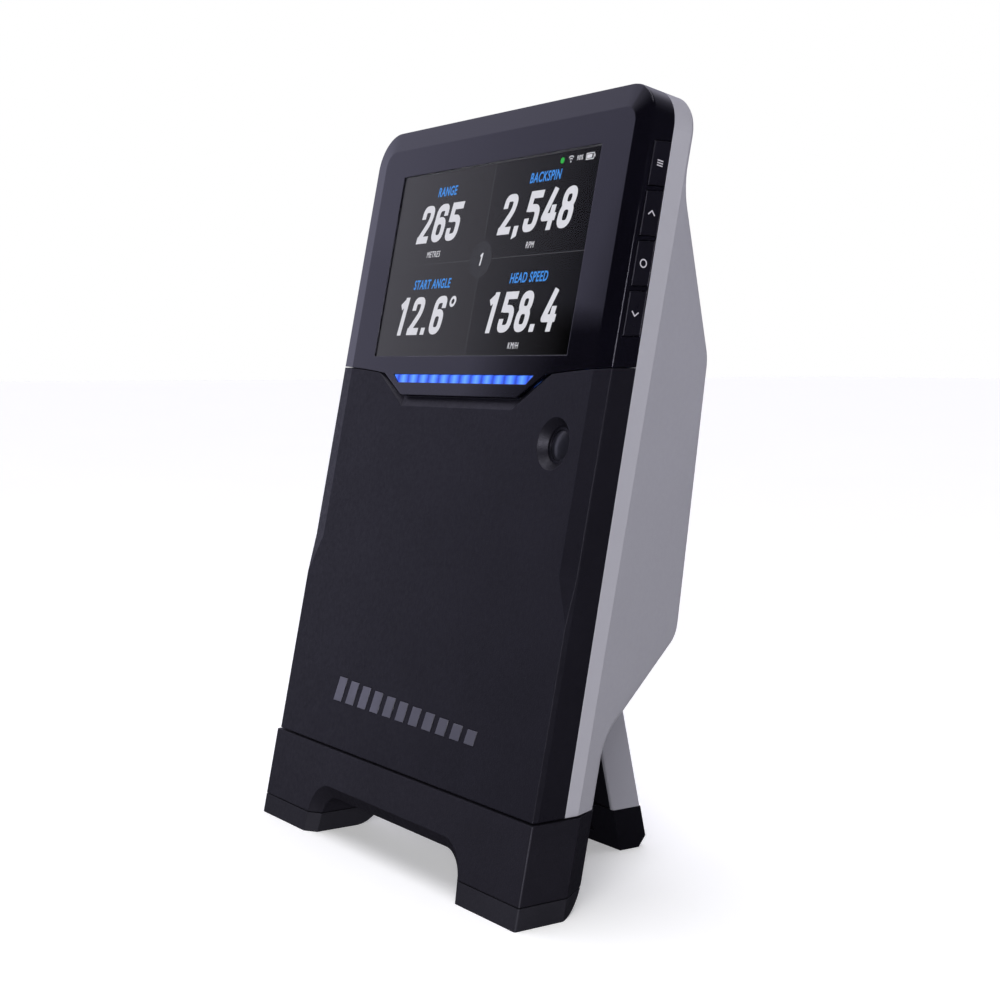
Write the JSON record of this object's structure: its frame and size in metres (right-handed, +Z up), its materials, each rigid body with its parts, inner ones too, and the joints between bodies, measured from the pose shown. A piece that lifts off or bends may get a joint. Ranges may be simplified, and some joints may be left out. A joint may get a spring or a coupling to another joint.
{
  "type": "launch monitor",
  "caption": "Leaning golf launch monitor with a display, light bar, camera window, side buttons, two-footed boot and a folding kickstand.",
  "frame": {"origin": "centre of the overall box, on the ground plane that the soles and the kickstand foot stand on", "axes": "+Z up, the display faces -Y and leans back, +X is to the right seen from the front"},
  "size_m": [0.1636, 0.0884, 0.2494],
  "materials": {
    "gloss_black": "polished",
    "charcoal": "fine grain",
    "silver_shell": "satin",
    "silver_inlay": "satin",
    "cover_glass": "polished",
    "lens_glass": "polished",
    "light_lens": "frosted",
    "black_parts": "satin",
    "board": "solder mask",
    "metal": "brushed",
    "sheet_metal": "matt",
    "rubber": "matt",
    "cell_wrap": "shrink wrap",
    "ribbon": "film"
  },
  "bodies": {
    "housing": {"display_bezel": "gloss_black", "display_glass": "cover_glass", "display_panel": "black_parts", "display_cable": "ribbon", "light_bar_lens": "light_lens", "light_bar_board": "board", "front_cover": "charcoal", "badge_inlay": "silver_inlay", "camera_ring": "gloss_black", "camera_lens": "lens_glass", "camera_module": "black_parts", "rear_shell": "silver_shell", "base_boot": "charcoal", "left_sole": "rubber", "right_sole": "rubber", "boot_screws": "metal", "case_screws": "metal", "button_board": "board", "chassis_plate": "sheet_metal", "standoffs": "metal", "radar_board": "board", "radar_shield": "sheet_metal", "main_board": "board", "board_shield": "sheet_metal", "heat_spreader": "sheet_metal", "battery_pack": "cell_wrap", "battery_bracket": "sheet_metal", "wireless_antenna": "board", "charging_port": "metal", "port_board": "board", "hinge_pin": "metal", "hinge_brackets": "sheet_metal", "friction_washers": "black_parts"},
    "kickstand": {"kickstand_leg": "silver_shell", "kickstand_liner": "black_parts", "kickstand_foot": "rubber", "liner_screws": "metal"},
    "menu_key": {"menu_button": "gloss_black"},
    "up_key": {"up_button": "gloss_black"},
    "select_key": {"select_button": "gloss_black"},
    "down_key": {"down_button": "gloss_black"}
  },
  "joints": [
    {"name": "kickstand_fold", "type": "hinge", "parent": "housing", "child": "kickstand", "pos_m": [0, 0.02156, 0.07991], "axis": [-1, 0, 0], "range_deg": [0, 30]},
    {"name": "menu_press", "type": "slide", "parent": "housing", "child": "menu_key", "axis": [-1, 0, 0], "range_m": [0, 0.0006], "stiffness_N_per_m": 900, "springref_m": -0.0004},
    {"name": "up_press", "type": "slide", "parent": "housing", "child": "up_key", "axis": [-1, 0, 0], "range_m": [0, 0.0006], "stiffness_N_per_m": 900, "springref_m": -0.0004},
    {"name": "select_press", "type": "slide", "parent": "housing", "child": "select_key", "axis": [-1, 0, 0], "range_m": [0, 0.0006], "stiffness_N_per_m": 900, "springref_m": -0.0004},
    {"name": "down_press", "type": "slide", "parent": "housing", "child": "down_key", "axis": [-1, 0, 0], "range_m": [0, 0.0006], "stiffness_N_per_m": 900, "springref_m": -0.0004}
  ]
}
